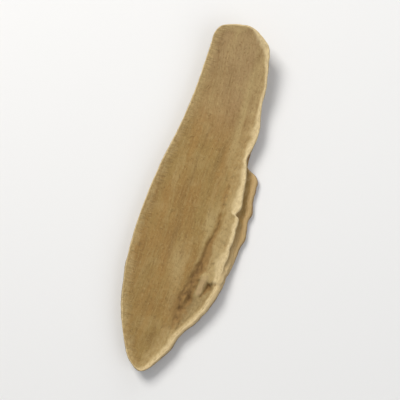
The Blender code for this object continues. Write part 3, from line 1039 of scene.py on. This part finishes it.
def driedSliceMaterial(finish):
    material = bpy.data.materials.new("driedReishi")
    material.use_nodes = True
    tree = material.node_tree
    shader = tree.nodes["Principled BSDF"].inputs
    names = (*ringMasks, *rimMasks, "creamWidth", "strawWidth", "worn")
    sources = {name: attribute(tree, name) for name in names} | finish["colors"]
    flow = sources["flow"] = attribute(tree, "flow", "Vector")
    wall = sources["wall"]

    flesh = placed(tree, corkFleshGroup(fleshFinish), sources)
    tubes = placed(tree, tubeLayerGroup(tubeFinish), sources, flesh["Color"])
    torn = placed(tree, tornLayerGroup(tornFinish), sources, tubes["Color"])
    rim = placed(tree, paleRimGroup(rimFinish), sources, torn["Color"])
    split = placed(tree, splitGroup(splitFinish), sources, rim["Color"])
    skin = placed(tree, crustSkinGroup(crustFinish), sources)
    pores = placed(tree, poreSkinGroup(poreFinish), sources)

    # the wall takes over just past the rim, and gives way to the lower face at its foot
    edge = finish["wallEdge"]
    onWall = between(wall, (0.0, edge), (1.0, 1.0 - edge))
    turned = strayed(sources["crust"], grainNoise(flow, *finish["turn"]), finish["turnWidth"])
    onCrust = ramp(turned, *finish["turnRange"])
    side = mixed(onCrust, pores["Color"], skin["Color"])
    side = mixed(between(turned, *finish["margin"]), side, finish["colors"]["Ledge"])
    plug(shader["Base Color"], mixed(onWall, split["Color"], side))

    crustShare = times(onWall, onCrust)
    plug(shader["Roughness"], blended(crustShare, finish["roughness"], skin["Roughness"]))
    plug(shader["Coat Weight"], times(crustShare, skin["Lacquer"], finish["coat"]))
    plugAll(shader, finish["even"])

    cutHeight = flesh["Height"]
    for layer in (tubes, torn, split):
        cutHeight = maths("ADD", cutHeight, layer["Height"])
    sideHeight = maths("ADD", blended(onCrust, pores["Height"], skin["Height"]), finish["sideLevel"])
    height = blended(ramp(wall, 0.0, finish["reliefEdge"]), cutHeight, sideHeight)
    plug(shader["Normal"], makeNode("Bump", {"Distance": mm, "Height": height})["Normal"])
    return material


studio = {
    "floorSize": 6.0,
    "floorDrop": 0.05,
    "floor": {"Base Color": (0.78, 0.776, 0.764, 1.0), "Roughness": 0.65, "Specular IOR Level": 0.2},
    "world": {"Color": (0.93, 0.95, 1.0, 1.0), "Strength": 0.3},
    # place, size, power and tint of each soft box, which all point at the slice
    "lamps": [
        ("keyLight", (-0.24, 0.22, 0.4), 0.22, 2.2, (1.0, 0.98, 0.95)),
        ("fillLight", (0.42, -0.1, 0.4), 0.5, 1.1, (0.96, 0.98, 1.0)),
        ("backLight", (0.1, 0.5, 0.25), 0.35, 0.5, (1.0, 1.0, 1.0)),
    ],
    "azimuth": 50.0,
    "elevation": 83.0,
    "lean": 16.8,
    "lens": 100.0,
    "distance": 0.236,
    "aim": (0.0, 0.0, 0.002),
}


def makeFloor(values):
    bpy.ops.object.select_all(action="DESELECT")
    bpy.ops.mesh.primitive_plane_add(size=values["floorSize"], location=(0.0, 0.0, -values["floorDrop"] * mm))
    floor = bpy.context.object
    floor.name = "floor"
    bpy.ops.object.transform_apply(location=True, rotation=True, scale=True)
    material = bpy.data.materials.new("paleFloor")
    material.use_nodes = True
    plugAll(material.node_tree.nodes["Principled BSDF"].inputs, values["floor"])
    floor.data.materials.append(material)


def lightStudio(values):
    world = bpy.data.worlds.new("softStudio")
    world.use_nodes = True
    plugAll(world.node_tree.nodes["Background"].inputs, values["world"])
    bpy.context.scene.world = world
    for name, place, size, power, tint in values["lamps"]:
        lamp = bpy.data.lights.new(name, "AREA")
        lamp.size = size
        lamp.energy = power
        lamp.color = tint
        holder = bpy.data.objects.new(name, lamp)
        holder.location = place
        holder.rotation_euler = Vector(place).to_track_quat("Z", "Y").to_euler()
        bpy.context.scene.collection.objects.link(holder)


def setCamera(values):
    azimuth, elevation = math.radians(values["azimuth"]), math.radians(values["elevation"])
    back = Vector((math.sin(azimuth) * math.cos(elevation), -math.cos(azimuth) * math.cos(elevation),
                   math.sin(elevation)))
    lengthwise = Vector((0.0, 1.0, 0.0))
    up = (lengthwise - back * lengthwise.dot(back)).normalized()
    up = Matrix.Rotation(math.radians(values["lean"]), 3, back) @ up
    right = up.cross(back)
    data = bpy.data.cameras.new("camera")
    data.lens = values["lens"]
    data.clip_start = 0.01
    camera = bpy.data.objects.new("camera", data)
    turn = Matrix((right, up, back)).transposed().to_4x4()
    camera.matrix_world = Matrix.Translation(Vector(values["aim"]) + back * values["distance"]) @ turn
    bpy.context.scene.collection.objects.link(camera)
    bpy.context.scene.camera = camera


driedSlice = makeSlice(sliceForm, sliceRelief, sliceStain, sliceFinish)
driedSlice.data.materials.clear()
driedSlice.data.materials.append(driedSliceMaterial(sliceFinish))
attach(driedSlice, "root")
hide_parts("slice")
print("slice dressed")

makeFloor(studio)
lightStudio(studio)
setCamera(studio)
bpy.context.scene.view_settings.view_transform = "Standard"
print("studio set")
